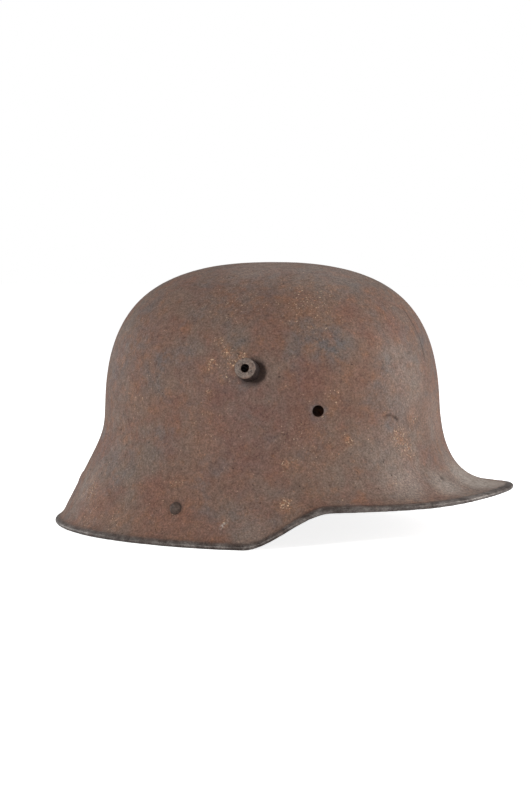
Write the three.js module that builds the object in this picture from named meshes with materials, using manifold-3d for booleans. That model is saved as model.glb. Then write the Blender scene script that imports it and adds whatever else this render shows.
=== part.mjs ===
// A pressed steel combat helmet with a short visor and a flared neck guard, lining removed.
// Millimetres. +X is the front (visor), +Y the wearer's left, +Z up. The origin is on the
// surface that the rim stands on, under the middle of the helmet's length.
// Five pieces: the one-piece shell with its rolled rim, two hollow vent lugs riveted through
// its temples, and two chin-strap rivets with their inner strap posts.

import * as THREE from 'three';
import { ParametricGeometry } from 'three/addons/geometries/ParametricGeometry.js';
import { mergeVertices } from 'three/addons/utils/BufferGeometryUtils.js';
import Module from 'manifold-3d';

const wasm = await Module();
wasm.setup();

// ---- Driving dimensions of the shell -------------------------------------------------------

const sheet = 1.1;                  // thickness of the pressed steel
const beadRadius = 1.6;             // of the rolled rim's section
const crownHeight = 175.3;          // top of the dome above the rim's lowest edge
const equatorHeight = 84.9;         // where the dome ends and the flare starts
const wallDraft = THREE.MathUtils.degToRad(2.3);    // how far the wall leans outward there

// Ovals seen from above, as reaches from the dome's axis. A power over 2 squares them a little.
const domeOval = { front: 110.8, rear: 114.7, side: 94, frontPower: 2.1, rearPower: 2.1 };
const rimOval = { front: 156.1, rear: 150.2, side: 121, frontPower: 1.82, rearPower: 2.05 };
const visorPeak = { reach: 5.5, power: 6.3 };       // the visor's tip, in front of the rim's oval
const domeAxisX = (rimOval.rear - rimOval.front - visorPeak.reach) / 2;

// Fullness of the dome's arch: 0.55 is an ellipse, more is squarer at the shoulder.
const archEnds = 0.7;
const archSides = 0.62;

// The rim steps up in front of the ears to carry the visor.
const visorRise = 23.3;
const visorTip = { rise: 5, power: 16 };            // the arch of the rim over the visor's tip
const stepFront = 56.1;             // degrees from the front, where the step reaches the visor
const stepRear = 82.6;              // where it starts from the ear guard

// Stations round the shell, as [degrees from the front, value], the same on both sides.
const browHeight = [[0, 31.4], [50, 41.7], [90, 52], [180, 63.7]];    // corner of dome and flare
const lipDroop = [[0, 5.1], [50, 13.1], [90, 40], [180, 29]];         // degrees below level

// How closely the flare follows that corner from above and from below: 0 is straight.
const wallFollow = [[0, 0.52], [90, 0.65], [180, 1.31]];
const flareFollow = [[0, 0.85], [90, 0.65], [180, 1.08]];
const lipLength = 8.6;

// The rolled rim is flattened where it stands on the surface, and stays round on the visor.
const footFlat = THREE.MathUtils.degToRad(22);
const visorFlat = THREE.MathUtils.degToRad(5);

// Facets: round the shell, and along each stretch of its section.
const slices = 72;
const steps = { dome: 11, flare: 7, lip: 2, bead: 5 };

// ---- Driving dimensions of the fittings ----------------------------------------------------

const gap = 0.3;                    // between a fitting and the shell
const facets = 24;                  // round a fitting

const ventLug = {
  polar: 83, height: 108.8,         // degrees from the front, and height on the shell
  radius: 6.75, reach: 10.5, edge: 1.1,
  bore: 2.7, boreEdge: 0.5,
  shank: 4.5, collar: 6.2, collarThickness: 1.3,
};

const strapRivet = {
  polar: 106.5, height: 22.7,
  radius: 4.15, reach: 2.7,
  shank: 2.3, plate: 6, plateThickness: 1,
  neck: 2.6, neckLength: 3.6, button: 4.8, buttonThickness: 1.8,
};

const liningHole = { polars: [57, -57, 180], height: 84.1, radius: 3.65 };

// ---- The shell's section ----------------------------------------------------------------------

// A smooth value between stations, level at the first and the last.
function between(stations, degrees) {
  const last = stations.length - 1;
  const next = Math.max(1, stations.findIndex(([at]) => at >= degrees));
  const [x0, y0] = stations[next - 1];
  const [x1, y1] = stations[next];
  const slope = (i) => {
    if (i === 0 || i === last) return 0;
    return (stations[i + 1][1] - stations[i - 1][1]) / (stations[i + 1][0] - stations[i - 1][0]);
  };
  const span = x1 - x0;
  const t = (degrees - x0) / span;
  const rise = t * t * (3 - 2 * t);
  const leave = t * (1 - t) * (1 - t) * span * slope(next - 1);
  const arrive = t * t * (t - 1) * span * slope(next);
  return y0 + (y1 - y0) * rise + leave + arrive;
}

function ovalRadius(oval, azimuth) {
  const ahead = Math.cos(azimuth) > 0;
  const along = ahead ? oval.front : oval.rear;
  const power = ahead ? oval.frontPower : oval.rearPower;
  const x = Math.abs(Math.cos(azimuth) / along) ** power;
  const y = Math.abs(Math.sin(azimuth) / oval.side) ** power;
  return (x + y) ** (-1 / power);
}

function rimRadius(azimuth) {
  const ahead = Math.max(Math.cos(azimuth), 0);
  return ovalRadius(rimOval, azimuth) + visorPeak.reach * ahead ** visorPeak.power;
}

// The outside of the section at one azimuth, in (radius, height): dome, flare and drooping lip.
function sectionAt(azimuth) {
  const cosine = Math.cos(azimuth);
  const degrees = THREE.MathUtils.radToDeg(Math.acos(THREE.MathUtils.clamp(cosine, -1, 1)));
  const rise = 1 - THREE.MathUtils.smoothstep(degrees, stepFront, stepRear);
  const flat = THREE.MathUtils.lerp(footFlat, visorFlat, rise);
  const equator = new THREE.Vector2(ovalRadius(domeOval, azimuth), equatorHeight);
  const onWall = (height) => {
    const lean = Math.tan(wallDraft) * (equatorHeight - height);
    return new THREE.Vector2(equator.x + lean, height);
  };
  const arch = THREE.MathUtils.lerp(archSides, archEnds, cosine * cosine);
  const dome = new THREE.CubicBezierCurve(
    new THREE.Vector2(0, crownHeight),
    new THREE.Vector2(arch * equator.x, crownHeight),
    onWall(THREE.MathUtils.lerp(equatorHeight, crownHeight, arch)),
    equator,
  );

  const droop = THREE.MathUtils.degToRad(between(lipDroop, degrees));
  const outward = new THREE.Vector2(Math.cos(droop), -Math.sin(droop));
  const normal = new THREE.Vector2(Math.sin(droop), Math.cos(droop));
  const tipRise = visorTip.rise * Math.max(cosine, 0) ** visorTip.power;
  const bead = new THREE.Vector2(
    rimRadius(azimuth) - beadRadius,
    beadRadius * Math.cos(flat) + rise * (visorRise + tipRise),
  );
  const lipEnd = bead.clone().addScaledVector(normal, beadRadius);
  const lipBend = lipEnd.clone().addScaledVector(outward, -lipLength / 2);
  const corner = onWall(between(browHeight, degrees));
  const lipStart = corner.clone().sub(lipBend).setLength(lipLength / 2).add(lipBend);

  const flare = new THREE.CubicBezierCurve(
    equator,
    onWall(THREE.MathUtils.lerp(equatorHeight, corner.y, between(wallFollow, degrees))),
    lipStart.clone().lerp(corner, between(flareFollow, degrees)),
    lipStart,
  );
  const lip = new THREE.QuadraticBezierCurve(lipStart, lipBend, lipEnd);
  return { dome, flare, lip, bead, droop, flat };
}

// Points of a curve moved inward by a depth, from one end of it to the other.
function inside(curve, depth, from, to, count) {
  const points = [];
  for (let i = 0; i <= count; i += 1) {
    const t = THREE.MathUtils.lerp(from, to, i / count);
    const tangent = curve.getTangent(t);
    points.push(curve.getPoint(t).add(new THREE.Vector2(tangent.y, -tangent.x).multiplyScalar(depth)));
  }
  return points;
}

// The whole closed section: outside down to the rim, round the bead, up the folded hem, over
// its raw edge and back up the inside of the sheet.
function sectionPoints(azimuth) {
  const { dome, flare, lip, bead, droop, flat } = sectionAt(azimuth);
  const outside = [
    ...dome.getPoints(steps.dome),
    ...flare.getPoints(steps.flare).slice(1),
    ...lip.getPoints(steps.lip).slice(1),
  ];
  const beadStart = Math.PI / 2 - droop;
  const beadFoot = -Math.PI / 2 + flat;
  const roll = new THREE.ArcCurve(bead.x, bead.y, beadRadius, beadStart, beadFoot, true);
  const foot = new THREE.Vector2(
    bead.x - beadRadius * Math.sin(flat),
    bead.y - beadRadius * Math.cos(flat),
  );
  const hemStart = 0.5;             // the hem reaches half way up the lip
  const points = [
    ...outside,
    ...roll.getPoints(steps.bead).slice(1),
    foot,
    ...inside(lip, 2 * beadRadius, 1, hemStart, 1),
    ...inside(lip, sheet, hemStart, 0, 1),
    ...inside(flare, sheet, 1, 0, steps.flare).slice(1),
    ...inside(dome, sheet, 1, 0, steps.dome).slice(1),
  ];
  points.at(-1).x = 0;
  return points;
}

// ---- The shell ----------------------------------------------------------------------------------

function pressedShell() {
  const sections = [];
  for (let i = 0; i < slices; i += 1) sections.push(sectionPoints(-2 * Math.PI * i / slices));
  const stacks = sections[0].length - 1;
  const place = (u, v, target) => {
    const slice = Math.round(u * slices) % slices;
    const point = sections[slice][Math.round(v * stacks)];
    const azimuth = -2 * Math.PI * slice / slices;
    target.set(domeAxisX + point.x * Math.cos(azimuth), point.x * Math.sin(azimuth), point.y);
  };
  return new ParametricGeometry(place, slices, stacks);
}

// A place on the outside of the dome or flare, at a polar angle and a height, and its normal.
function placeOnShell(polar, height) {
  const surface = (azimuth, t) => {
    const { dome, flare } = sectionAt(azimuth);
    const point = t < 1 ? dome.getPoint(t) : flare.getPoint(t - 1);
    return new THREE.Vector3(
      domeAxisX + point.x * Math.cos(azimuth),
      point.x * Math.sin(azimuth),
      point.y,
    );
  };
  const azimuth = THREE.MathUtils.degToRad(polar);
  let above = 0;
  let below = 2;
  for (let i = 0; i < 40; i += 1) {
    const middle = (above + below) / 2;
    if (surface(azimuth, middle).z > height) above = middle;
    else below = middle;
  }
  const small = 0.001;
  const point = surface(azimuth, above);
  const across = surface(azimuth + small, above).sub(surface(azimuth - small, above));
  const down = surface(azimuth, above + small).sub(surface(azimuth, above - small));
  return { point, normal: down.cross(across).normalize() };
}

// ---- Solids: cutting the holes --------------------------------------------------------------------

function toSolid(geometry) {
  geometry.deleteAttribute('normal');
  geometry.deleteAttribute('uv');
  const merged = mergeVertices(geometry);
  const corners = Array.from(merged.index.array);
  const triangles = [];
  for (let i = 0; i < corners.length; i += 3) {
    const triangle = corners.slice(i, i + 3);
    if (new Set(triangle).size === 3) triangles.push(...triangle);
  }
  return new wasm.Manifold(new wasm.Mesh({
    numProp: 3,
    vertProperties: merged.attributes.position.array,
    triVerts: new Uint32Array(triangles),
  }));
}

function toGeometry(solid) {
  const { vertProperties, triVerts } = solid.getMesh();
  const geometry = new THREE.BufferGeometry();
  geometry.setAttribute('position', new THREE.BufferAttribute(vertProperties, 3));
  geometry.setIndex(new THREE.BufferAttribute(triVerts, 1));
  return geometry;
}

function turnTo(normal) {
  return new THREE.Quaternion().setFromUnitVectors(new THREE.Vector3(0, 1, 0), normal);
}

function drill({ point, normal }, radius) {
  const depth = 12 * sheet;
  const bit = new THREE.CylinderGeometry(radius, radius, depth, facets);
  bit.applyQuaternion(turnTo(normal));
  bit.translate(point.x, point.y, point.z);
  return toSolid(bit);
}

// ---- The fittings -----------------------------------------------------------------------------------

// Points of an arc between two angles in degrees.
function arc(x, y, radius, from, to, count) {
  const start = THREE.MathUtils.degToRad(from);
  const end = THREE.MathUtils.degToRad(to);
  return new THREE.ArcCurve(x, y, radius, start, end, to < from).getPoints(count);
}

const at = (x, y) => new THREE.Vector2(x, y);

// Sections run round the fitting's solid in (radius, height above the shell's outside).
function ventLugSection() {
  const { radius, reach, edge, bore, boreEdge, shank, collar, collarThickness } = ventLug;
  const collarTop = -sheet - 2 * gap;
  const collarFoot = collarTop - collarThickness;
  const collarRound = collarThickness / 2;
  return [
    at(bore, collarFoot),
    ...arc(collar - collarRound, collarTop - collarRound, collarRound, -90, 90, 4),
    at(shank, collarTop),
    at(shank, gap),
    at(radius, gap),
    ...arc(radius - edge, reach - edge, edge, 0, 90, 4),
    ...arc(bore + boreEdge, reach - boreEdge, boreEdge, 90, 180, 2),
    at(bore, collarFoot),
  ];
}

function strapRivetSection() {
  const { radius, reach, shank, plate, plateThickness } = strapRivet;
  const { neck, neckLength, button, buttonThickness } = strapRivet;
  const head = reach - gap;
  const curve = (radius ** 2 + head ** 2) / (2 * head);
  const half = THREE.MathUtils.radToDeg(Math.asin(radius / curve));
  const plateTop = -sheet - 2 * gap;
  const neckTop = plateTop - plateThickness;
  const buttonTop = neckTop - neckLength;
  const buttonRound = buttonThickness / 2;
  return [
    at(0, buttonTop - buttonThickness),
    ...arc(button - buttonRound, buttonTop - buttonRound, buttonRound, -90, 90, 4),
    at(neck, buttonTop),
    at(neck, neckTop),
    at(plate, neckTop),
    at(plate, plateTop),
    at(shank, plateTop),
    at(shank, gap),
    ...arc(0, reach - curve, curve, 90 - half, 90, 5),
  ];
}

// ---- The helmet -----------------------------------------------------------------------------------------

const rustySteel = new THREE.MeshStandardMaterial({ color: 0x78655d, roughness: 0.75, metalness: 0.35 });
const greySteel = new THREE.MeshStandardMaterial({ color: 0x77706c, roughness: 0.65, metalness: 0.45 });

const sides = [['right', -1], ['left', 1]];
const lugHole = ventLug.shank + gap;
const rivetHole = strapRivet.shank + gap;

function shell() {
  let solid = toSolid(pressedShell());
  for (const [, side] of sides) {
    solid = solid.subtract(drill(placeOnShell(side * ventLug.polar, ventLug.height), lugHole));
    solid = solid.subtract(drill(placeOnShell(side * strapRivet.polar, strapRivet.height), rivetHole));
  }
  for (const polar of liningHole.polars) {
    solid = solid.subtract(drill(placeOnShell(polar, liningHole.height), liningHole.radius));
  }
  const mesh = new THREE.Mesh(toGeometry(solid), rustySteel);
  mesh.name = 'shell';
  return mesh;
}

function fitting(name, section, { point, normal }) {
  const mesh = new THREE.Mesh(new THREE.LatheGeometry(section, facets), greySteel);
  mesh.name = name;
  mesh.position.copy(point);
  mesh.quaternion.copy(turnTo(normal));
  return mesh;
}

const group = new THREE.Group();
group.add(shell());
for (const [name, side] of sides) {
  const lugPlace = placeOnShell(side * ventLug.polar, ventLug.height);
  const rivetPlace = placeOnShell(side * strapRivet.polar, strapRivet.height);
  group.add(fitting(`vent_lug_${name}`, ventLugSection(), lugPlace));
  group.add(fitting(`strap_rivet_${name}`, strapRivetSection(), rivetPlace));
}

export default group;
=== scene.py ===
"""A rusty pressed-steel combat helmet on a pale floor, seen from its right side.

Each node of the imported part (the shell, two vent lugs and two strap rivets) is replaced by a
finer mesh of the same shape, with dents, pits and procedural rust. The shape is worked out in
the frame's own axes, in millimetres, and turned into metres as each mesh is made.
"""

import math

import bpy
import numpy as np
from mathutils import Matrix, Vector, noise


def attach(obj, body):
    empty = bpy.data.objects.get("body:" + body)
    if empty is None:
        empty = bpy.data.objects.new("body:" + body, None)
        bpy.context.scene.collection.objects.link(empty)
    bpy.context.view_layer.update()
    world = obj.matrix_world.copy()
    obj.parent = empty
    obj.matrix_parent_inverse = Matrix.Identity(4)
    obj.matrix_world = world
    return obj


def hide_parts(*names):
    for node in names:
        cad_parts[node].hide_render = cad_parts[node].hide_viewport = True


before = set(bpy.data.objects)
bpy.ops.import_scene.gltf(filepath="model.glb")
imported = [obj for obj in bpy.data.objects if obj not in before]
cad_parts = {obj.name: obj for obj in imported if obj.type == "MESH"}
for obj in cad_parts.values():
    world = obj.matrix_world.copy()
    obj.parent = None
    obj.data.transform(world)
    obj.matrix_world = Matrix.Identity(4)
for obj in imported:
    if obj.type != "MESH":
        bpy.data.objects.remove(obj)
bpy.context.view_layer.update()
MM = 0.001

# ---- The shell's shape, in millimetres -----------------------------------------------------------

SHEET = 1.1                       # thickness of the pressed steel
BEAD = 1.6                        # radius of the rolled rim's section
CROWN = 175.3                     # height of the dome's top
EQUATOR = 84.9                    # height where the dome ends and the flare starts
WALL_DRAFT = math.radians(2.3)    # how far the wall leans outward there
DOME = {"front": 110.8, "rear": 114.7, "side": 94.0, "front_power": 2.1, "rear_power": 2.1}
RIM = {"front": 156.1, "rear": 150.2, "side": 121.0, "front_power": 1.82, "rear_power": 2.05}
PEAK_REACH, PEAK_POWER = 5.5, 6.3            # the visor's tip, in front of the rim's oval
AXIS_X = (RIM["rear"] - RIM["front"] - PEAK_REACH) / 2
ARCH_ENDS, ARCH_SIDES = 0.70, 0.62           # how full the dome is, 0.55 being an ellipse
VISOR_RISE, TIP_RISE, TIP_POWER = 23.3, 5.0, 16
STEP_FRONT, STEP_REAR = 56.1, 82.6           # the rim's step, in degrees from the front
# Stations are (degrees from the front, value).
BROW_HEIGHT = ((0, 31.4), (50, 41.7), (90, 52.0), (180, 63.7))
LIP_DROOP = ((0, 5.1), (50, 13.1), (90, 40.0), (180, 29.0))
WALL_FOLLOW = ((0, 0.52), (90, 0.65), (180, 1.31))
FLARE_FOLLOW = ((0, 0.85), (90, 0.65), (180, 1.08))
LIP_LENGTH = 8.6
FOOT_FLAT, VISOR_FLAT = math.radians(22), math.radians(5)    # half of the rim's flat strip
HEM_START = 0.5                   # the folded hem reaches half way up the lip
FINE_STEPS = 4001                 # for adding up a density of rings or columns

LINING_HOLES = (57, -57, 180)     # degrees from the front, anticlockwise from above
LINING_HEIGHT, LINING_RADIUS = 84.1, 3.65


def smooth(t):
    """0 up to 0, 1 from 1 on, and a smooth step between."""
    t = np.clip(t, 0, 1)
    return t * t * (3 - 2 * t)


def between(stations, degrees):
    """A smooth value between stations round the shell, level at the first and the last."""
    at = np.array([s[0] for s in stations], float)
    value = np.array([s[1] for s in stations], float)
    slope = np.zeros(len(at))
    slope[1:-1] = (value[2:] - value[:-2]) / (at[2:] - at[:-2])
    i = np.clip(np.searchsorted(at, degrees, side="right") - 1, 0, len(at) - 2)
    span = at[i + 1] - at[i]
    t = (degrees - at[i]) / span
    leave = t * (1 - t) ** 2 * span * slope[i]
    arrive = t * t * (t - 1) * span * slope[i + 1]
    return value[i] + (value[i + 1] - value[i]) * smooth(t) + leave + arrive


def oval(shape, azimuth):
    """The radius of an oval that differs between front and rear, at each azimuth."""
    ahead = np.cos(azimuth) > 0
    along = np.where(ahead, shape["front"], shape["rear"])
    power = np.where(ahead, shape["front_power"], shape["rear_power"])
    x = np.abs(np.cos(azimuth) / along) ** power
    y = np.abs(np.sin(azimuth) / shape["side"]) ** power
    return (x + y) ** (-1 / power)


def rim_radius(azimuth):
    return oval(RIM, azimuth) + PEAK_REACH * np.maximum(np.cos(azimuth), 0) ** PEAK_POWER


def pair(radius, height):
    """Points of the section as (radius, height), one row for each azimuth."""
    return np.stack(np.broadcast_arrays(radius, height), axis=-1)


def section(azimuth):
    """The control points of the shell's section at each azimuth: dome, flare and lip."""
    cosine = np.cos(azimuth)
    degrees = np.degrees(np.arccos(np.clip(cosine, -1, 1)))
    rise = smooth((STEP_REAR - degrees) / (STEP_REAR - STEP_FRONT))
    flat = FOOT_FLAT + (VISOR_FLAT - FOOT_FLAT) * rise
    radius = oval(DOME, azimuth)

    def on_wall(height):
        return pair(radius + math.tan(WALL_DRAFT) * (EQUATOR - height), height)

    arch = ARCH_SIDES + (ARCH_ENDS - ARCH_SIDES) * cosine ** 2
    shoulder = on_wall(EQUATOR + (CROWN - EQUATOR) * arch)
    equator = pair(radius, EQUATOR)
    dome = [pair(0 * radius, CROWN), pair(arch * radius, CROWN), shoulder, equator]

    droop = np.radians(between(LIP_DROOP, degrees))
    outward = pair(np.cos(droop), -np.sin(droop))
    normal = pair(np.sin(droop), np.cos(droop))
    tip_rise = TIP_RISE * np.maximum(cosine, 0) ** TIP_POWER
    bead = pair(rim_radius(azimuth) - BEAD, BEAD * np.cos(flat) + rise * (VISOR_RISE + tip_rise))
    lip_end = bead + BEAD * normal
    lip_bend = lip_end - LIP_LENGTH / 2 * outward
    corner = on_wall(between(BROW_HEIGHT, degrees))
    along = corner - lip_bend
    lip_start = lip_bend + LIP_LENGTH / 2 * along / np.linalg.norm(along, axis=-1, keepdims=True)

    upper = on_wall(EQUATOR + (corner[:, 1] - EQUATOR) * between(WALL_FOLLOW, degrees))
    lower = lip_start + (corner - lip_start) * between(FLARE_FOLLOW, degrees)[:, None]
    return {
        "dome": dome,
        "flare": [equator, upper, lower, lip_start],
        "lip": [lip_start, lip_bend, lip_end],
        "bead": bead, "droop": droop, "flat": flat,
    }


def bezier(points, t):
    """The point at t on a Bezier curve and its unit tangent, for every azimuth at once."""
    while len(points) > 2:
        points = [a + (b - a) * t for a, b in zip(points, points[1:])]
    tangent = points[1] - points[0]
    tangent = tangent / np.linalg.norm(tangent, axis=-1, keepdims=True)
    return points[0] + (points[1] - points[0]) * t, tangent


def on_curve(name, t, depth=0.0):
    """A ring on the dome, flare or lip, moved inward by a depth."""
    def ring(parts):
        point, tangent = bezier(parts[name], t)
        return point + depth * pair(tangent[:, 1], -tangent[:, 0])
    return ring


def on_bead(t):
    """A ring round the rolled rim, from the lip's end at 0 to the foot's flat at 1."""
    def ring(parts):
        start = math.pi / 2 - parts["droop"]
        angle = start + (parts["flat"] - math.pi / 2 - start) * t
        return parts["bead"] + BEAD * pair(np.cos(angle), np.sin(angle))
    return ring


def foot(parts):
    """The inner edge of the strip that the rim stands on."""
    return parts["bead"] - BEAD * pair(np.sin(parts["flat"]), np.cos(parts["flat"]))


def spread(count, low, high, dense=()):
    """Values from low to high, closer together in each (from, to, factor) stretch."""
    fine = np.linspace(low, high, FINE_STEPS)
    density = np.ones(len(fine))
    for start, end, factor in dense:
        density[(fine >= start) & (fine <= end)] = factor
    total = np.concatenate([[0], np.cumsum((density[1:] + density[:-1]) / 2)])
    return np.interp(np.linspace(0, total[-1], count), total, fine)


# ---- Places on the shell, in millimetres ---------------------------------------------------------

OUTSIDE_STEPS = [(name, t) for name in ("dome", "flare") for t in np.linspace(0, 1, 400)]
SMALL_TURN = 1e-4                 # radians either way, for a direction round the shell
SIDES = (("right", 1), ("left", -1))


def on_shell(polar, height):
    """The place on the outside, at degrees from the front and at a height."""
    azimuth = np.array([math.radians(polar)])
    parts = section(azimuth)
    points = np.array([bezier(parts[name], t)[0][0] for name, t in OUTSIDE_STEPS])
    radius, z = points[np.abs(points[:, 1] - height).argmin()]
    return np.array([AXIS_X + radius * math.cos(azimuth[0]), radius * math.sin(azimuth[0]), z])


def facing(place):
    """The outward direction at a place on the outside."""
    azimuth = np.array([math.atan2(place[1], place[0] - AXIS_X)])
    parts = section(azimuth)
    name, t = min(OUTSIDE_STEPS, key=lambda s: abs(bezier(parts[s[0]], s[1])[0][0, 1] - place[2]))

    def spot(angle):
        radius, z = bezier(section(angle)[name], t)[0][0]
        return np.array([radius * math.cos(angle[0]), radius * math.sin(angle[0]), z])

    tangent = bezier(parts[name], t)[1][0]
    down = np.array([
        tangent[0] * math.cos(azimuth[0]), tangent[0] * math.sin(azimuth[0]), tangent[1]])
    normal = np.cross(down, spot(azimuth + SMALL_TURN) - spot(azimuth - SMALL_TURN))
    return normal / np.linalg.norm(normal)


def mirrored(place, side):
    """A place or direction of the right side, or its mirror image if the side is -1."""
    return place * np.array([1, side, 1])


def distance(points, place):
    return np.linalg.norm(points - place, axis=1)


def along_path(points, path):
    """The distance from each point to a line through several places."""
    best = np.full(len(points), np.inf)
    for a, b in zip(path, path[1:]):
        t = np.clip((points - a) @ (b - a) / ((b - a) @ (b - a)), 0, 1)
        best = np.minimum(best, np.linalg.norm(points - a - t[:, None] * (b - a), axis=1))
    return best


def mark(reach, strength, radius, fade):
    """The strength near a place, falling to 0 at a radius, over a stretch of the fade's width."""
    return strength * smooth((radius - reach) / fade)


LUG_PLACE = on_shell(-83.0, 108.8)
RIVET_PLACE = on_shell(-106.5, 22.7)
LUG_HOLE_RADIUS, RIVET_HOLE_RADIUS = 4.8, 2.6


# ---- Dents and the rust's relief -----------------------------------------------------------------

SCRATCH = [on_shell(polar, height) for polar, height in (
    (-7.2, 146.0), (-7.6, 141.0), (-7.1, 134.0), (-6.9, 127.0), (-7.4, 119.0), (-7.6, 113.0))]
CRESCENT = [on_shell(polar, height) for polar, height in (
    (-32.6, 79.0), (-31.0, 79.6), (-29.3, 79.2), (-27.9, 78.0), (-27.2, 76.9))]
CRESCENT_HOLLOW = on_shell(-30.5, 75.0)
VISOR_PIT = on_shell(-14.0, 38.2)
REAR_LUMP = on_shell(-166.0, 31.0)
BUCKLE_DEPTH, BUCKLE_SIZE = 0.22, 55.0
FITTING_FLAT, FITTING_FADE = 8.0, 12.0       # round a fitting the sheet isn't buckled
# Dents as (depth, radius, fade). A lump's depth is below 0.
CRESCENT_GROOVE, CRESCENT_DISH = (0.60, 1.1, 0.8), (0.35, 6.0, 4.0)
HOLE_DISH, PIT_DISH, LUMP = (0.18, 6.4, 1.2), (0.5, 1.9, 1.3), (-0.7, 3.6, 3.2)
SCRATCH_GROOVE = (0.22, 0.75, 0.6)


def waves(points, size, octaves=3, seed=0.0):
    """Smooth noise with features of about that size in millimetres, from -1 to 1."""
    shift = Vector((seed * 17.3, seed * 5.1, seed * 9.7))
    return np.array([
        noise.fractal(Vector(p) / size + shift, 1.0, 2.0, octaves) for p in points
    ])


def dents(points):
    """How far the sheet is pushed in, in millimetres, on both of its faces."""
    hollow = BUCKLE_DEPTH * waves(points, BUCKLE_SIZE, 2, seed=1.0)
    for place in (LUG_PLACE, RIVET_PLACE):
        for _, side in SIDES:
            reach = distance(points, mirrored(place, side))
            hollow *= smooth((reach - FITTING_FLAT) / FITTING_FADE)
    hollow += mark(along_path(points, CRESCENT), *CRESCENT_GROOVE)
    hollow += mark(distance(points, CRESCENT_HOLLOW), *CRESCENT_DISH)
    for polar in LINING_HOLES:
        hollow += mark(distance(points, on_shell(polar, LINING_HEIGHT)), *HOLE_DISH)
    hollow += mark(distance(points, VISOR_PIT), *PIT_DISH)
    hollow += mark(distance(points, REAR_LUMP), *LUMP)
    return hollow


def relief(points):
    """The rust's own relief on the outside, outward, in millimetres."""
    scale = 0.055 * waves(points, 7.0, 3, seed=2.0) + 0.035 * waves(points, 2.6, 2, seed=3.0)
    pits = waves(points, 4.2, 2, seed=4.0)
    scale -= 0.12 * smooth((pits - 0.42) / 0.3)
    scale -= mark(along_path(points, SCRATCH), *SCRATCH_GROOVE)
    return scale


# ---- Mesh helpers --------------------------------------------------------------------------------

def add_mesh(name, points, faces):
    """A smooth-shaded mesh object from points in millimetres."""
    mesh = bpy.data.meshes.new(name)
    mesh.from_pydata((np.asarray(points) * MM).tolist(), [], faces)
    mesh.validate()
    mesh.polygons.foreach_set("use_smooth", np.ones(len(mesh.polygons), bool))
    thing = bpy.data.objects.new(name, mesh)
    bpy.context.scene.collection.objects.link(thing)
    return thing


def read_points(mesh):
    points = np.empty(len(mesh.vertices) * 3)
    mesh.vertices.foreach_get("co", points)
    return points.reshape(-1, 3)


def read_normals(mesh):
    normals = np.empty(len(mesh.vertices) * 3)
    mesh.vertex_normals.foreach_get("vector", normals)
    return normals.reshape(-1, 3)


def write_points(mesh, points):
    mesh.vertices.foreach_set("co", points.ravel())
    mesh.update()


def paint(mesh, name, values):
    """Stores a value from 0 to 1 for each vertex, for the material to read."""
    attribute = mesh.attributes.new(name, "FLOAT", "POINT")
    attribute.data.foreach_set("value", np.clip(values, 0, 1).astype(np.float32))


def stitch(rows, first, second):
    """Faces between two closed rings of vertex numbers: even, or one with half as many."""
    a, b = rows[first], rows[second]
    if len(a) == len(b):
        return [(a[i - 1], a[i], b[i], b[i - 1]) for i in range(len(a))]
    if len(a) > len(b):
        faces = []
        for j in range(len(b)):
            left, middle, right = a[2 * j - 2], a[2 * j - 1], a[2 * j]
            faces += [(left, middle, b[j - 1]), (middle, b[j], b[j - 1]), (middle, right, b[j])]
        return faces
    faces = []
    for j in range(len(a)):
        left, middle, right = b[2 * j - 2], b[2 * j - 1], b[2 * j]
        faces += [(a[j - 1], middle, left), (a[j - 1], a[j], middle), (a[j], right, middle)]
    return faces


# ---- The shell -----------------------------------------------------------------------------------

ROUND = 480                       # columns round the shell
DOME_RINGS, FLARE_RINGS, LIP_RINGS, BEAD_RINGS, HEM_RINGS = 88, 53, 6, 8, 4
INNER_LIP_RINGS, INNER_FLARE_RINGS, INNER_DOME_RINGS = 4, 21, 38
CLOSE_UP = (-36, -3, 2.6)         # degrees with the crescent dent and the scratch, and factor
FLARE_BEND = (0, 0.2, 2.2)        # the flare's start, with closer rings, and factor
# Near the apex several columns become one: (up to this t on the dome, how many).
OUTER_SHARES = ((0.035, 8), (0.08, 4), (0.2, 2), (1, 1))
INNER_SHARES = ((0.09, 8), (0.2, 4), (1, 2))
DRILL_SIDES, DRILL_HALF = 64, 7.0            # a drill bit reaches this far to either side
SHELL_CREASE = math.radians(50)
EDGE_WEAR = 0.10                  # how deep the rim's edge is worn
# Shares of the rim's radius: where wear and the bare band start, and how wide their edges are.
EDGE_START, EDGE_FADE = 0.975, 0.015
BAND_START, BAND_FADE, VISOR_EXTRA = 0.980, 0.010, 0.014
GROOVE_OFFSET, GROOVE_WIDTH = 0.003, 0.008


def column_share(t, shares):
    """How many columns become one at t on the dome."""
    return next(share for limit, share in shares if t <= limit)


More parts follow.
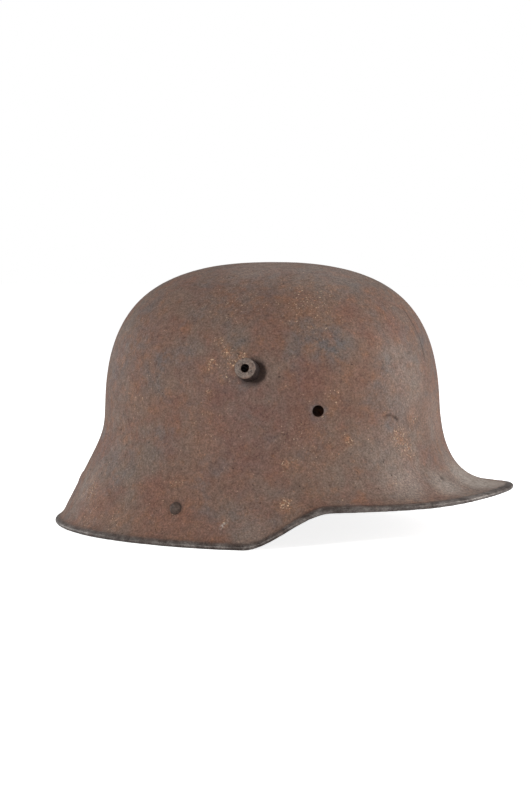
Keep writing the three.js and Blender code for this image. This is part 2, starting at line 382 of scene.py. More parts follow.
def shell_rings():
    """Every ring of the shell, from the outer apex over the rim to the inner apex.

    Each is the ring's function, how many columns become one there, and if it is outside.
    """
    dome = np.linspace(0, 1, DOME_RINGS + 1)[1:]
    flare = spread(FLARE_RINGS + 1, 0, 1, [FLARE_BEND])[1:]
    hem = np.linspace(1, HEM_START, HEM_RINGS)
    inner_lip = np.linspace(HEM_START, 0, INNER_LIP_RINGS)
    inner_flare = np.linspace(1, 0, INNER_FLARE_RINGS + 1)[1:]
    inner_dome = np.linspace(1, 0, INNER_DOME_RINGS + 2)[1:-1]
    rings = [(on_curve("dome", t), column_share(t, OUTER_SHARES), True) for t in dome]
    rings += [(on_curve("flare", t), 1, True) for t in flare]
    rings += [(on_curve("lip", t), 1, True) for t in np.linspace(0, 1, LIP_RINGS + 1)[1:]]
    rings += [(on_bead(t), 1, True) for t in np.linspace(0, 1, BEAD_RINGS + 1)[1:]]
    rings.append((foot, 1, True))
    rings += [(on_curve("lip", t, 2 * BEAD), 1, True) for t in hem]
    rings += [(on_curve("lip", t, SHEET), 2, False) for t in inner_lip]
    rings += [(on_curve("flare", t, SHEET), 2, False) for t in inner_flare]
    rings += [
        (on_curve("dome", t, SHEET), column_share(t, INNER_SHARES), False) for t in inner_dome]
    return rings


def shell_grid():
    """The shell's points and faces, with 1 at each point of the outside and 0 inside."""
    columns = np.radians(spread(ROUND + 1, -180, 180, [CLOSE_UP]))[:-1]
    points, outside, rows = [np.array([[AXIS_X, 0, CROWN]])], [1.0], [[0]]
    count = 1
    for ring, share, outer in shell_rings():
        azimuth = columns[::share]
        place = ring(section(azimuth))
        x = AXIS_X + place[:, 0] * np.cos(azimuth)
        points.append(np.stack([x, place[:, 0] * np.sin(azimuth), place[:, 1]], axis=1))
        outside += [float(outer)] * len(azimuth)
        rows.append(list(range(count, count + len(azimuth))))
        count += len(azimuth)
    points.append(np.array([[AXIS_X, 0, CROWN - SHEET]]))
    outside.append(0.0)
    first, last = rows[1], rows[-1]
    faces = [(0, first[i - 1], first[i]) for i in range(len(first))]
    for i in range(1, len(rows) - 1):
        faces += [face[::-1] for face in stitch(rows, i, i + 1)]
    faces += [(count, last[i], last[i - 1]) for i in range(len(last))]
    return np.concatenate(points), faces, np.array(outside)


def drill_bits(places, name):
    """One mesh of closed cylinders, each (place, direction, radius) in millimetres."""
    points, faces = [], []
    sides, half = DRILL_SIDES, DRILL_HALF
    for place, direction, radius in places:
        turn = np.array(Vector(direction).to_track_quat("Z", "Y").to_matrix())
        start = len(points)
        for end in (-half, half):
            for i in range(sides):
                angle = 2 * math.pi * i / sides
                spot = np.array([radius * math.cos(angle), radius * math.sin(angle), end])
                points.append(place + turn @ spot)
        faces.append([start + i for i in reversed(range(sides))])
        faces.append([start + sides + i for i in range(sides)])
        for i in range(sides):
            j = (i + 1) % sides
            faces.append((start + i, start + j, start + sides + j, start + sides + i))
    return add_mesh(name, points, faces)


def cut(thing, cutter):
    """Subtracts the cutter from the thing, and removes the cutter."""
    modifier = thing.modifiers.new("holes", "BOOLEAN")
    modifier.operation = "DIFFERENCE"
    modifier.solver = "MANIFOLD"
    modifier.object = cutter
    bpy.context.view_layer.objects.active = thing
    bpy.ops.object.modifier_apply(modifier=modifier.name)
    bpy.data.objects.remove(cutter)


def shell_holes():
    """Places, directions and radii of the seven holes through the shell."""
    holes = []
    for _, side in SIDES:
        for place, radius in ((LUG_PLACE, LUG_HOLE_RADIUS), (RIVET_PLACE, RIVET_HOLE_RADIUS)):
            holes.append((mirrored(place, side), mirrored(facing(place), side), radius))
    for polar in LINING_HOLES:
        place = on_shell(polar, LINING_HEIGHT)
        holes.append((place, facing(place), LINING_RADIUS))
    return holes


def rim_share(points):
    """How far out each point is towards the rim's edge, 1 at the edge."""
    x, y = points[:, 0] - AXIS_X, points[:, 1]
    azimuth = np.arctan2(y, x)
    return np.hypot(x, y) / rim_radius(azimuth)


def rim_band(points):
    """The bare rolled rim, and the groove along its inner side, which is wider on the visor."""
    share = rim_share(points)
    degrees = np.degrees(np.arctan2(np.abs(points[:, 1]), points[:, 0] - AXIS_X))
    on_visor = smooth((STEP_REAR - degrees) / (STEP_REAR - STEP_FRONT))
    start = BAND_START - VISOR_EXTRA * on_visor
    groove = smooth(1 - np.abs(share - start - GROOVE_OFFSET) / GROOVE_WIDTH)
    return smooth((share - start) / BAND_FADE), groove


def make_shell(outer_material, inner_material):
    points, faces, outside = shell_grid()
    shell = add_mesh("helmet_shell", points, faces)
    shell.data.materials.append(outer_material)
    shell.data.materials.append(inner_material)
    lined = [int(min(outside[corner] for corner in face) < 0.5) for face in faces]
    shell.data.polygons.foreach_set("material_index", lined)
    push = -dents(points)
    outer = outside > 0.5
    push[outer] += relief(points[outer])
    edge = smooth((rim_share(points) - EDGE_START) / EDGE_FADE) * outside
    push += EDGE_WEAR * edge * waves(points, 3.5, 3, seed=5.0)
    normals = read_normals(shell.data) * np.where(outer, 1.0, -1.0)[:, None]
    moved = points + normals * push[:, None]
    moved[:, 2] = np.maximum(moved[:, 2], 0.0)
    write_points(shell.data, moved * MM)
    cut(shell, drill_bits(shell_holes(), "drill_bits"))

    mesh = shell.data
    mesh.set_sharp_from_angle(angle=SHELL_CREASE)
    points = read_points(mesh) / MM
    for name, values in marks_and_painted_light(points).items():
        paint(mesh, name, values)
    paint(mesh, "rim", rim_band(points)[0])
    return shell


# ---- Where the shell's finish changes, with painted shade and sheen ------------------------------

# Soft round spots: (degrees from the front, height, radius, strength), in millimetres. Degrees
# below 0 are on the right side and those above 0 on the left.
ORANGE_SPOTS = (
    (-96.6, 126, 5, 0.8), (-92.5, 120, 6, 0.85), (-86, 118, 6, 0.9), (-90, 113, 5, 0.8),
    (-99, 111.5, 7, 0.8), (-93, 103, 6, 0.7), (-99.5, 92, 6, 0.5), (-91, 110, 11, 0.35),
    (-27, 66, 9, 0.8), (-24, 57, 9, 0.65), (-19.5, 76, 6, 0.5), (-46.5, 65.5, 5, 0.9),
    (-51.5, 94.5, 7, 0.6), (-69.5, 50.3, 5, 0.8), (-69.5, 27.5, 6, 1.0), (-108.5, 39, 6, 0.5),
    (-140, 12.6, 14, 0.45), (-128, 14, 10, 0.5), (-106.5, 19, 6, 0.5), (-88.5, 16, 5, 0.6),
    (-100, 70, 22, 0.25), (-60, 60, 28, 0.3), (-55, 150, 30, 0.45), (-95, 152, 26, 0.35),
    (-130, 95, 24, 0.3), (-146, 30, 12, 0.5),
    (35, 60, 12, 0.8), (88, 95, 16, 0.7), (120, 30, 20, 0.6), (165, 90, 22, 0.5),
    (150, 140, 24, 0.4), (60, 130, 18, 0.5), (75, 25, 12, 0.8), (10, 90, 20, 0.4),
)
GREY_AND_SHEEN_SPOTS = (
    (-51, 126, 17, 1.0), (-60, 133, 14, 0.7), (-30.5, 112, 9, 0.8), (-30.0, 73, 6, 0.9),
    (-84, 101, 9, 0.7), (-112, 118, 14, 0.6), (-122, 115, 9, 0.9), (-121, 105, 7, 0.8),
    (-85, 22, 16, 0.4), (-10, 30, 22, 0.5), (-57, 84, 7.5, 0.9), (57, 84, 7.5, 0.9),
    (180, 84, 7.5, 0.9), (95, 120, 18, 0.7), (140, 70, 20, 0.6), (20, 120, 16, 0.6),
    # From here on the broad spots grey the crown and the edges: partly grey rust, partly painted
    # sheen, and the one at 8 degrees also painted shade on the front edge.
    (-90, 160, 42, 0.55), (-30, 165, 36, 0.5), (-140, 125, 34, 0.45), (-12, 125, 26, 0.4),
    (8, 105, 34, 0.7), (12, 65, 20, 0.5), (-5, 38, 30, 0.5), (-150, 45, 30, 0.35),
    (-150, 90, 26, 0.3), (-118, 60, 14, 0.4),
)
WORN_SPOTS = (
    (0, 33, 34, 1.0), (-16, 33, 20, 0.8), (16, 33, 20, 0.8), (-29, 37, 24, 0.65),
    (-30, 60, 26, 0.3), (-4, 75, 20, 0.4), (-80, 7, 14, 0.3),
    (-22, 95, 26, 0.4), (-26, 118, 14, 0.35), (-150, 30, 22, 0.4), (-86, 172, 30, 0.5),
    (-30, 170, 34, 0.4), (150, 40, 26, 0.4), (60, 120, 24, 0.4), (110, 168, 24, 0.4),
)
RED_SPOTS = (
    (-88, 88, 30, 0.7), (-70, 78, 28, 0.6), (-84, 60, 26, 0.6), (-60, 102, 18, 0.5),
    (-105, 92, 16, 0.3), (100, 80, 34, 0.6), (60, 90, 24, 0.4), (160, 60, 26, 0.5),
)
BRIGHT_SCRATCHES = (              # each from (degrees, height) to (degrees, height)
    ((-89.2, 13.4), (-88.0, 16.6)), ((-90.0, 12.6), (-89.2, 13.4)), ((-137, 27), (-136.2, 26.6)),
    ((98, 60), (101, 66)), ((140, 40), (143, 43)),
)
SPOT_EDGE = 1.25                  # a spot fades out at this many of its radii
# Marks as (strength, radius, fade).
BARE_METAL, SCRATCH_DIRT, PIT_DIRT = (0.8, 0.7, 0.5), (0.7, 1.12, 0.8), (0.75, 2.6, 2.0)
CRESCENT_SHADOW, CRESCENT_END_SHADOW = (0.6, 1.28, 0.8), (0.4, 5.0, 4.0)    # painted shadow along the dent's sharp edge, darker at its last place
# Painted shadow beside each lug, and a darker ring round each rivet's foot.
LUG_PAINTED_SHADOW, RIVET_FOOT_RING = (1.0, 10.8, 3.5), (0.5, 5.4, 1.2)
GROOVE_DIRT = 0.55
LUG_SHADOW_OFFSET = np.array([2.2, 0, -0.8])      # from a lug's middle to the middle of its painted shadow


def spots(points, marks):
    """The strongest of several soft round spots at each point."""
    total = np.zeros(len(points))
    for polar, height, radius, strength in marks:
        reach = distance(points, on_shell(polar, height)) / radius
        total = np.maximum(total, strength * smooth(SPOT_EDGE - reach))
    return total


def bright_marks(points):
    """Bare metal in the short scratches."""
    total = np.zeros(len(points))
    for ends in BRIGHT_SCRATCHES:
        path = [on_shell(*end) for end in ends]
        total = np.maximum(total, mark(along_path(points, path), *BARE_METAL))
    return total


def dirt_and_shadow_marks(points):
    """Dirt in the long scratch, the pit and by the rim, painted shadow along the crescent and
    beside each lug, and a darker ring round each rivet's foot.
    """
    # Painted shadow along the crescent dent's sharp edge, darkest at its last place.
    strength, radius, fade = CRESCENT_SHADOW
    strength = strength + mark(distance(points, CRESCENT[-1]), *CRESCENT_END_SHADOW)
    layers = [
        mark(along_path(points, SCRATCH), *SCRATCH_DIRT),
        mark(distance(points, VISOR_PIT), *PIT_DIRT),
        mark(along_path(points, CRESCENT), strength, radius, fade),
        GROOVE_DIRT * rim_band(points)[1],
    ]
    for _, side in SIDES:
        # Painted shadow beside each lug, moved from its middle towards the front and down.
        lug_shadow_reach = distance(points, mirrored(LUG_PLACE + LUG_SHADOW_OFFSET, side))
        # a darker ring round each rivet's foot
        rivet_reach = distance(points, mirrored(RIVET_PLACE, side))
        layers += [mark(lug_shadow_reach, *LUG_PAINTED_SHADOW), mark(rivet_reach, *RIVET_FOOT_RING)]
    return np.maximum.reduce(layers)


def marks_and_painted_light(points):
    """Where the finish changes, and where shade and sheen are painted: for each kind, values from 0
    to 1 at every point.
    """
    return {
        "orange": spots(points, ORANGE_SPOTS), "grey": spots(points, GREY_AND_SHEEN_SPOTS),
        "worn": spots(points, WORN_SPOTS), "red": spots(points, RED_SPOTS),
        "bright": bright_marks(points), "dark": dirt_and_shadow_marks(points),
    }


# ---- The fittings, in (radius, height above the shell) -------------------------------------------

LUG = {"radius": 6.75, "reach": 10.5, "edge": 1.1, "bore": 2.7, "bore_edge": 0.5,
       "shank": 4.5, "collar": 6.2, "collar_thickness": 1.3}
RIVET = {"radius": 4.15, "reach": 2.7, "shank": 2.3, "plate": 6.0, "plate_thickness": 1.0,
         "neck": 2.6, "neck_length": 3.6, "button": 4.8, "button_thickness": 1.8}
GAP = 0.3                         # between a fitting and the inside of the shell
SEAT = 0.05                       # between a fitting and the outside of the shell
CURVATURE = 95.0                  # the shell's radius where a fitting sits
FOOT_SPREAD = 0.25                # the lug is wider where it meets the shell
FOOT_CURVE = ((0.1, 0.5), (0, 1.2))          # how much wider it is at two heights
LUG_WEAR, RIVET_WEAR = 0.20, 0.08            # how deep the pitting is
PITTING_SHARE = 0.6               # of that depth, in each of two sizes of pit
TURNED_COLUMNS, TURNED_STEP = 96, 0.45
ROLL_STEPS, BORE_STEPS, HEAD_STEPS = 10, 6, 12
ON_AXIS = 1e-6                    # a ring smaller than this is a single point
FITTING_CREASE = math.radians(55)


def arc(x, y, radius, start, end, steps):
    """Points on an arc round (x, y), between two angles in degrees."""
    angles = np.radians(np.linspace(start, end, steps + 1))
    return [(x + radius * math.cos(a), y + radius * math.sin(a)) for a in angles]


def seat(radius):
    """The height of the shell's outside, a radius away from the middle of a fitting."""
    return SEAT - radius ** 2 / (2 * CURVATURE)


def lug_section():
    """The lug from its peened collar inside the shell to its outer end, and back down the bore."""
    collar_top = -SHEET - 2 * GAP
    half = LUG["collar_thickness"] / 2
    bore, edge, bore_edge = LUG["bore"], LUG["edge"], LUG["bore_edge"]
    face = LUG["reach"]
    return [
        (bore, collar_top - 2 * half),
        *arc(LUG["collar"] - half, collar_top - half, half, -90, 90, ROLL_STEPS),
        (LUG["shank"], collar_top), (LUG["shank"], seat(LUG["shank"])),
        (LUG["radius"] + FOOT_SPREAD, seat(LUG["radius"] + FOOT_SPREAD)),
        *((LUG["radius"] + extra, height) for extra, height in FOOT_CURVE),
        *arc(LUG["radius"] - edge, face - edge, edge, 0, 90, ROLL_STEPS),
        *arc(bore + bore_edge, face - bore_edge, bore_edge, 90, 180, BORE_STEPS),
        (bore, collar_top - 2 * half),
    ]


def rivet_section():
    """The rivet from the strap post's button inside the shell to the top of its domed head."""
    head = RIVET["reach"] - SEAT
    curve = (RIVET["radius"] ** 2 + head ** 2) / (2 * head)
    half_angle = math.degrees(math.asin(RIVET["radius"] / curve))
    plate_top = -SHEET - 2 * GAP
    neck_top = plate_top - RIVET["plate_thickness"]
    button_top = neck_top - RIVET["neck_length"]
    half = RIVET["button_thickness"] / 2
    return [
        (0, button_top - 2 * half),
        *arc(RIVET["button"] - half, button_top - half, half, -90, 90, ROLL_STEPS),
        (RIVET["neck"], button_top), (RIVET["neck"], neck_top), (RIVET["plate"], neck_top),
        (RIVET["plate"], plate_top), (RIVET["shank"], plate_top),
        (RIVET["shank"], seat(RIVET["shank"])),
        *arc(0, RIVET["reach"] - curve, curve, 90 - half_angle, 90, HEAD_STEPS),
    ]


def densify(outline, step):
    """The same outline with no stretch longer than a step."""
    result = [outline[0]]
    for a, b in zip(outline, outline[1:]):
        count = max(1, math.ceil(math.dist(a, b) / step))
        result += [(a[0] + (b[0] - a[0]) * i / count, a[1] + (b[1] - a[1]) * i / count)
                   for i in range(1, count + 1)]
    return result


def turned(name, outline, place, side, wear):
    """A solid of revolution standing on the shell, pitted to a depth given by the wear."""
    direction = facing(place)
    columns = TURNED_COLUMNS
    outline = densify(outline, TURNED_STEP)
    closed = outline[0] == outline[-1]
    if closed:
        outline = outline[:-1]
    points, rows = [], []
    for radius, height in outline:
        around = 1 if radius < ON_AXIS else columns
        rows.append(list(range(len(points), len(points) + around)))
        for i in range(around):
            angle = 2 * math.pi * i / columns
            points.append((radius * math.cos(angle), radius * math.sin(angle), height))
    faces = []
    for i in range(len(rows) if closed else len(rows) - 1):
        a, b = rows[i], rows[(i + 1) % len(rows)]
        for j in range(columns):
            quad = (a[j - 1 if len(a) > 1 else 0], a[j if len(a) > 1 else 0],
                    b[j if len(b) > 1 else 0], b[j - 1 if len(b) > 1 else 0])
            faces.append(tuple(dict.fromkeys(quad)))
    turn = np.array(Vector(direction).to_track_quat("Z", "Y").to_matrix())
    points = np.array(points) @ turn.T + place
    if side < 0:
        points = mirrored(points, side)
        faces = [face[::-1] for face in faces]
    thing = add_mesh(name, points, faces)
    normals = read_normals(thing.data)
    fine, coarse = waves(points, 2.4, 3, seed=6.0), waves(points, 6.0, 1, seed=7.0)
    push = wear * (fine * PITTING_SHARE + coarse * PITTING_SHARE)
    write_points(thing.data, (points + normals * push[:, None]) * MM)
    thing.data.set_sharp_from_angle(angle=FITTING_CREASE)
    depth = (points - mirrored(place, side)) @ mirrored(direction, side)
    paint(thing.data, "height", depth / LUG["reach"])
    return thing


# ---- Materials -----------------------------------------------------------------------------------

def rgb(red, green, blue):
    """A screen colour of 0 to 255 as the shader's linear colour."""
    def linear(value):
        value /= 255
        return value / 12.92 if value <= 0.04045 else ((value + 0.055) / 1.055) ** 2.4
    return (linear(red), linear(green), linear(blue), 1.0)


class Finish:
    """A material whose nodes are made by short calls. Sizes are in millimetres."""

    def __init__(self, name):
        self.material = bpy.data.materials.new(name)
        self.material.use_nodes = True
        self.tree = self.material.node_tree
        self.shader = self.tree.nodes["Principled BSDF"]
        self.place = self.tree.nodes.new("ShaderNodeTexCoord").outputs["Object"]

    def put(self, socket, value):
        if isinstance(value, bpy.types.NodeSocket):
            self.tree.links.new(value, socket)
        else:
            socket.default_value = value

    def set(self, name, value):
        self.put(self.shader.inputs[name], value)

    def math(self, operation, a, b):
        node = self.tree.nodes.new("ShaderNodeMath")
        node.operation = operation
        self.put(node.inputs[0], a)
        self.put(node.inputs[1], b)
        return node.outputs[0]

    def times(self, a, b):
        return self.math("MULTIPLY", a, b)

    def noise(self, size, detail=3.0, roughness=0.55, stretch=(1, 1, 1), seed=0.0, swirl=0.0):
        mapping = self.tree.nodes.new("ShaderNodeMapping")
        self.put(mapping.inputs["Vector"], self.place)
        scale = [1 / (size * MM * s) for s in stretch]
        mapping.inputs["Scale"].default_value = scale
        mapping.inputs["Location"].default_value = (seed * 7.7, seed * 3.3, seed * 5.9)
        node = self.tree.nodes.new("ShaderNodeTexNoise")
        self.put(node.inputs["Vector"], mapping.outputs["Vector"])
        node.inputs["Scale"].default_value = 1.0
        node.inputs["Detail"].default_value = detail
        node.inputs["Roughness"].default_value = roughness
        node.inputs["Distortion"].default_value = swirl
        return node.outputs["Fac"]

    def ramp(self, value, low, high, start=0.0, end=1.0):
        """A smooth step from start to end as the value goes from low to high."""
        node = self.tree.nodes.new("ShaderNodeMapRange")
        node.interpolation_type = "SMOOTHSTEP"
        self.put(node.inputs["Value"], value)
        limits = (("From Min", low), ("From Max", high), ("To Min", start), ("To Max", end))
        for name, number in limits:
            node.inputs[name].default_value = number
        return node.outputs["Result"]

    def patches(self, size, low, high, start=0.0, end=1.0, **look):
        """Patches of about a size: noise, ramped from start to end between two of its levels."""
        return self.ramp(self.noise(size, **look), low, high, start, end)

    def mix(self, share, a, b, kind="RGBA"):
        node = self.tree.nodes.new("ShaderNodeMix")
        node.data_type = kind
        self.put(node.inputs["Factor"], share)
        self.put(node.inputs["A"], a)
        self.put(node.inputs["B"], b)
        return node.outputs["Result"]

    def painted(self, name):
        node = self.tree.nodes.new("ShaderNodeAttribute")
        node.attribute_name = name
        return node.outputs["Fac"]

    def shade(self, colour, amount):
        """The colour made darker or lighter by a number round 1."""
        node = self.tree.nodes.new("ShaderNodeVectorMath")
        node.operation = "SCALE"
        self.put(node.inputs[0], colour)
        self.put(node.inputs["Scale"], amount)
        return node.outputs[0]

    def bump(self, height, depth, below=None):
        node = self.tree.nodes.new("ShaderNodeBump")
        self.put(node.inputs["Height"], height)
        node.inputs["Strength"].default_value = 1.0
        node.inputs["Distance"].default_value = depth * MM
        if below is not None:
            self.put(node.inputs["Normal"], below)
        return node.outputs["Normal"]


BROWN = rgb(120, 92, 78)
GREY_BROWN = rgb(118, 100, 89)
RED_BROWN = rgb(121, 83, 70)
PLUM_BROWN = rgb(114, 81, 73)
DARK_BROWN = rgb(88, 70, 62)
BLUE_GREY = rgb(96, 94, 94)
WARM_BROWN = rgb(140, 98, 72)
WORN_GREY = rgb(146, 134, 125)
TIP_GREY = rgb(166, 156, 147)
ORANGE = rgb(166, 118, 86)
TAN = rgb(220, 190, 156)
# The colour of pits, also used for painted shadow.
PIT_AND_SHADOW_BROWN = rgb(50, 37, 33)
PALE = rgb(205, 196, 186)
RIM_DARK = rgb(76, 67, 63)
RIM_STEEL = rgb(126, 118, 113)
INSIDE_BROWN = rgb(92, 70, 60)
INSIDE_ORANGE = rgb(138, 92, 62)
# The lug's near-black side colour is partly dark rust, partly painted shade.
LUG_FACE, LUG_FLANK_SHADE = rgb(126, 111, 101), rgb(46, 33, 29)
RIVET_FACE, RIVET_FLANK = rgb(96, 90, 86), rgb(84, 68, 60)


def rust_colour(finish):
    """The mottled brown rust of the outside, before its marks."""
    colour = finish.mix(finish.patches(60, 0.35, 0.65, detail=2), BROWN, GREY_BROWN)
    red = finish.patches(21, 0.38, 0.72, 0, 0.7, detail=5, roughness=0.62, seed=1.0, swirl=0.3)
    colour = finish.mix(red, colour, RED_BROWN)
    dark = finish.patches(7, 0.52, 0.74, 0, 0.45, detail=5, roughness=0.7, seed=2.0)
    colour = finish.mix(dark, colour, DARK_BROWN)
    warm = finish.patches(11, 0.48, 0.72, 0, 0.55, detail=5, roughness=0.7, seed=18.0)
    colour = finish.mix(warm, colour, WARM_BROWN)
    steel = finish.patches(23, 0.50, 0.74, 0, 0.55, detail=5, roughness=0.62, seed=3.0, swirl=0.3)
    return finish.mix(steel, colour, BLUE_GREY)


def grain(finish, colour, low, high):
    """Fine speckle, small clumps and faint upright streaks over a colour."""
    speckle = finish.patches(1.2, 0.32, 0.68, low, high, detail=4, roughness=0.75, seed=4.0)
    streak = finish.patches(1.6, 0.3, 0.7, 0.95, 1.05, roughness=0.6, stretch=(1, 1, 7), seed=5.0)
    clumps = finish.patches(3.4, 0.35, 0.65, 0.92, 1.08, roughness=0.6, seed=27.0)
    return finish.shade(colour, finish.times(finish.times(speckle, streak), clumps))


def painted_wear_and_sheen(finish, colour):
    """Reddish, grey and worn places, the grey on the crown and edges partly painted sheen, and the
    bare grey at the visor's tip.
    """
    red = finish.times(finish.painted("red"),
                       finish.patches(8, 0.3, 0.65, 0.4, 1.0, detail=4, roughness=0.65, seed=28.0))
    colour = finish.mix(red, colour, PLUM_BROWN)
    # grey spots: grey rust, and painted sheen on the crown and edges
    grey = finish.times(finish.painted("grey"),
                        finish.patches(7, 0.35, 0.6, detail=4, roughness=0.65, seed=6.0))
    colour = finish.mix(finish.times(grey, 0.75), colour, BLUE_GREY)
    worn = finish.painted("worn")
    tip = finish.times(finish.ramp(worn, 0.5, 1.0, 0, 0.8),
                       finish.patches(5, 0.35, 0.65, 0.35, 0.9, detail=4, roughness=0.7, seed=26.0))
    worn = finish.times(worn,
                        finish.patches(9, 0.3, 0.65, 0.5, 0.85, detail=5, roughness=0.7, seed=19.0))
    colour = finish.mix(worn, colour, WORN_GREY)
    return finish.mix(tip, colour, TIP_GREY)


def flaking(finish, colour):
    """Orange flakes and cream specks, thicker in the painted clusters, and dark pits."""
    cluster = finish.painted("orange")
    warm = finish.times(cluster, finish.patches(6, 0.35, 0.65, 0, 0.55, seed=8.0))
    colour = finish.mix(warm, colour, WARM_BROWN)
    flakes = finish.math("ADD", finish.noise(2.2, 5, 0.75, seed=7.0), finish.times(cluster, 0.12))
    colour = finish.mix(finish.ramp(flakes, 0.61, 0.74, 0, 0.65), colour, ORANGE)
    specks = finish.math("ADD", finish.noise(1.3, 4, 0.7, seed=9.0), finish.times(cluster, 0.13))
    colour = finish.mix(finish.ramp(specks, 0.655, 0.74, 0, 0.85), colour, TAN)
    pits = finish.patches(2.8, 0.66, 0.74, 0, 0.7, roughness=0.6, seed=10.0)
    return finish.mix(pits, colour, PIT_AND_SHADOW_BROWN)


def rough_surface(finish, size, depth):
    """Coarse bumps of a size and depth, with a fine grain on them."""
    coarse = finish.bump(finish.noise(size, 4, 0.6, seed=17.0), depth)
    finish.set("Normal", finish.bump(finish.noise(1.1, 4, 0.65, seed=4.0), 0.14, coarse))


def shell_finish():
    finish = Finish("rusted_steel_finish")
    colour = flaking(finish, painted_wear_and_sheen(finish, rust_colour(finish)))
    colour = grain(finish, colour, 0.64, 1.36)

    rim = finish.times(finish.painted("rim"),
                       finish.patches(9, 0.25, 0.45, 0.55, 1.0, detail=4, roughness=0.6, seed=11.0))
    band = finish.mix(finish.patches(9, 0.38, 0.66, detail=5, roughness=0.75, seed=20.0),
                      RIM_DARK, RIM_STEEL)
    colour = finish.mix(rim, colour, grain(finish, band, 0.7, 1.3))
    bright = finish.times(finish.painted("bright"),
                          finish.patches(1.4, 0.4, 0.55, detail=2, seed=12.0))
    colour = finish.mix(bright, colour, PALE)
    # Dirt, and painted shadow beside the lugs and along the crescent, in the pit colour.
    finish.set("Base Color", finish.mix(finish.times(finish.painted("dark"), 0.85), colour, PIT_AND_SHADOW_BROWN))

    rust_roughness = finish.patches(5, 0.3, 0.7, 0.58, 0.80, detail=4, roughness=0.6, seed=15.0)
    rim_roughness = finish.patches(3, 0.3, 0.7, 0.32, 0.5, seed=16.0)
    finish.set("Roughness", finish.mix(rim, rust_roughness, rim_roughness, "FLOAT"))
    finish.set("Metallic", finish.times(rim, 0.25))
    finish.set("Specular IOR Level", 0.3)
    rough_surface(finish, 3.2, 0.22)
    return finish.material


def inner_finish():
    finish = Finish("inner_steel_finish")
    colour = finish.mix(finish.patches(22, 0.42, 0.62, detail=4, roughness=0.6, seed=13.0),
                        INSIDE_BROWN, INSIDE_ORANGE)
    dark = finish.patches(10, 0.5, 0.7, 0, 0.8, detail=4, roughness=0.6, seed=14.0)
    finish.set("Base Color", grain(finish, finish.mix(dark, colour, PIT_AND_SHADOW_BROWN), 0.75, 1.25))
    finish.set("Roughness",
               finish.patches(5, 0.3, 0.7, 0.65, 0.85, detail=4, roughness=0.6, seed=15.0))
    rough_surface(finish, 4, 0.3)
    return finish.material


def fitting_finish(name, face, flank_colour_and_shade):
    """Pitted steel: the face colour at the outer end and the side colour towards the shell; on the
    lug that dark side colour is partly rust, partly painted shade.
    """
    finish = Finish(name)
    rust = finish.patches(3.5, 0.45, 0.62, 0, 0.7, detail=4, roughness=0.65, seed=21.0)
    colour = finish.mix(rust, face, BROWN)
    # Towards the shell the side colour, on the lug partly painted shade.
    colour = finish.mix(finish.ramp(finish.painted("height"), 0.90, 0.99), flank_colour_and_shade, colour)
    pits = finish.patches(1.4, 0.54, 0.68, 0, 0.75, roughness=0.6, seed=22.0)
    colour = finish.mix(pits, colour, PIT_AND_SHADOW_BROWN)
    finish.set("Base Color", grain(finish, colour, 0.62, 1.38))
    finish.set("Roughness", finish.patches(2, 0.3, 0.7, 0.5, 0.75, seed=23.0))
    coarse = finish.bump(finish.noise(2.4, 4, 0.65, seed=25.0), 0.35)
    finish.set("Normal", finish.bump(finish.noise(1.0, 4, 0.65, seed=24.0), 0.3, coarse))
    finish.set("Metallic", 0.15)
    return finish.material


# ---- Putting the helmet together -----------------------------------------------------------------

def put_on_frame(piece, node):
    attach(piece, "root")
    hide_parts(node)


lug_finish = fitting_finish("lug_steel_finish", LUG_FACE, LUG_FLANK_SHADE)
rivet_finish = fitting_finish("rivet_steel_finish", RIVET_FACE, RIVET_FLANK)
put_on_frame(make_shell(shell_finish(), inner_finish()), "shell")
for label, side in SIDES:
    lug = turned(f"helmet_vent_lug_{label}", lug_section(), LUG_PLACE, side, LUG_WEAR)
    lug.data.materials.append(lug_finish)
    put_on_frame(lug, f"vent_lug_{label}")
    rivet = turned(f"helmet_strap_rivet_{label}", rivet_section(), RIVET_PLACE, side, RIVET_WEAR)
    rivet.data.materials.append(rivet_finish)
    put_on_frame(rivet, f"strap_rivet_{label}")


# ---- Floor, light and camera, in metres ----------------------------------------------------------

MIDDLE = Vector((AXIS_X * MM, 0, 0.080))
FLOOR_REACH = 6.0
FLOOR_GREY, FLOOR_GLOW = 0.88, 0.85          # the glow is for the camera only
LIGHT_DISTANCE = 1.5
LIGHTS = (                        # name, azimuth, elevation, width and watts
    ("key_light", -20, 16, 0.15, 9.6),
    ("rear_light", -100, 10, 0.8, 6.5),
    ("low_front_light", 105, 15, 0.8, 13.5),
    ("high_front_light", 80, 38, 0.8, 5.2),
    ("back_light", 200, 55, 1.0, 3.8),
)
WORLD_LIGHT, WORLD_SEEN = 0.2, 1.0           # its strength as light, and as the camera sees it
CAMERA_AZIMUTH, CAMERA_ELEVATION, CAMERA_DISTANCE = 17, 4.934, 1.3
LENS, SENSOR = 87.14, 36                     # in millimetres
AIM_BACK, AIM_UP = 0.0058, 0.0029            # the camera's target, from the helmet's middle


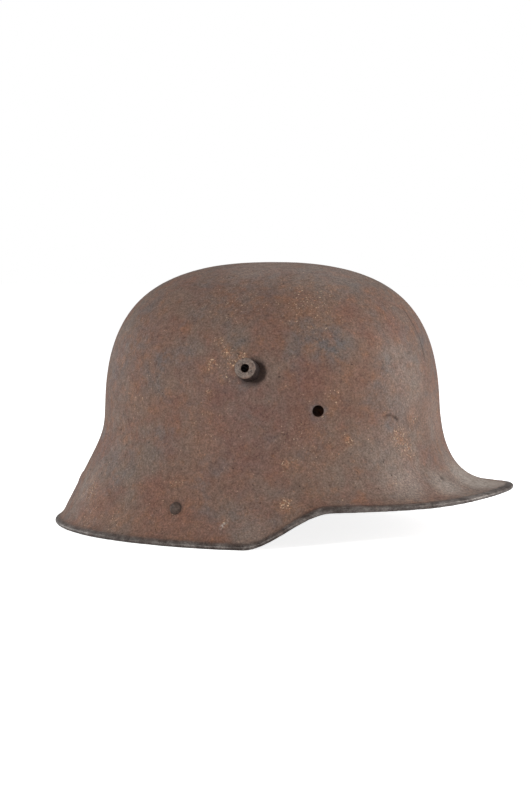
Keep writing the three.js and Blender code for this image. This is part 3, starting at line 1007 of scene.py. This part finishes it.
def plain_floor():
    reach = FLOOR_REACH
    corners = [(-reach, -reach, 0), (reach, -reach, 0), (reach, reach, 0), (-reach, reach, 0)]
    mesh = bpy.data.meshes.new("floor")
    mesh.from_pydata(corners, [], [(0, 1, 2, 3)])
    floor = bpy.data.objects.new("floor", mesh)
    bpy.context.scene.collection.objects.link(floor)
    finish = Finish("floor_finish")
    finish.set("Base Color", (FLOOR_GREY, FLOOR_GREY, FLOOR_GREY, 1))
    finish.set("Roughness", 0.9)
    finish.set("Specular IOR Level", 0.0)
    finish.set("Emission Color", (1, 1, 1, 1))
    path = finish.tree.nodes.new("ShaderNodeLightPath")
    finish.set("Emission Strength", finish.times(path.outputs["Is Camera Ray"], FLOOR_GLOW))
    mesh.materials.append(finish.material)


def towards(azimuth, elevation):
    """A direction: azimuth in degrees from the right side towards the front, and elevation."""
    a, e = math.radians(azimuth), math.radians(elevation)
    return Vector((math.sin(a) * math.cos(e), -math.cos(a) * math.cos(e), math.sin(e)))


def aim(thing, place, target):
    thing.location = place
    thing.rotation_euler = (target - place).to_track_quat("-Z", "Y").to_euler()


def soft_light(name, azimuth, elevation, width, watts):
    light = bpy.data.lights.new(name, "AREA")
    light.shape = "DISK"
    light.size = width
    light.energy = watts
    thing = bpy.data.objects.new(name, light)
    bpy.context.scene.collection.objects.link(thing)
    aim(thing, MIDDLE + LIGHT_DISTANCE * towards(azimuth, elevation), MIDDLE)


def pale_world():
    world = bpy.data.worlds.new("studio")
    world.use_nodes = True
    bpy.context.scene.world = world
    tree = world.node_tree
    background = tree.nodes["Background"]
    path = tree.nodes.new("ShaderNodeLightPath")
    level = tree.nodes.new("ShaderNodeMapRange")
    level.inputs["To Min"].default_value = WORLD_LIGHT
    level.inputs["To Max"].default_value = WORLD_SEEN
    tree.links.new(path.outputs["Is Camera Ray"], level.inputs["Value"])
    tree.links.new(level.outputs["Result"], background.inputs["Strength"])
    background.inputs["Color"].default_value = (1, 1, 1, 1)


def camera():
    data = bpy.data.cameras.new("camera")
    data.sensor_width = SENSOR
    data.lens = LENS
    data.clip_start = 0.05
    thing = bpy.data.objects.new("camera", data)
    bpy.context.scene.collection.objects.link(thing)
    back = towards(CAMERA_AZIMUTH, CAMERA_ELEVATION)
    across = towards(CAMERA_AZIMUTH + 90, 0)
    target = MIDDLE - AIM_BACK * across + Vector((0, 0, AIM_UP))
    aim(thing, MIDDLE + CAMERA_DISTANCE * back, target)
    bpy.context.scene.camera = thing


plain_floor()
for values in LIGHTS:
    soft_light(*values)
pale_world()
camera()
bpy.context.scene.view_settings.view_transform = "Standard"
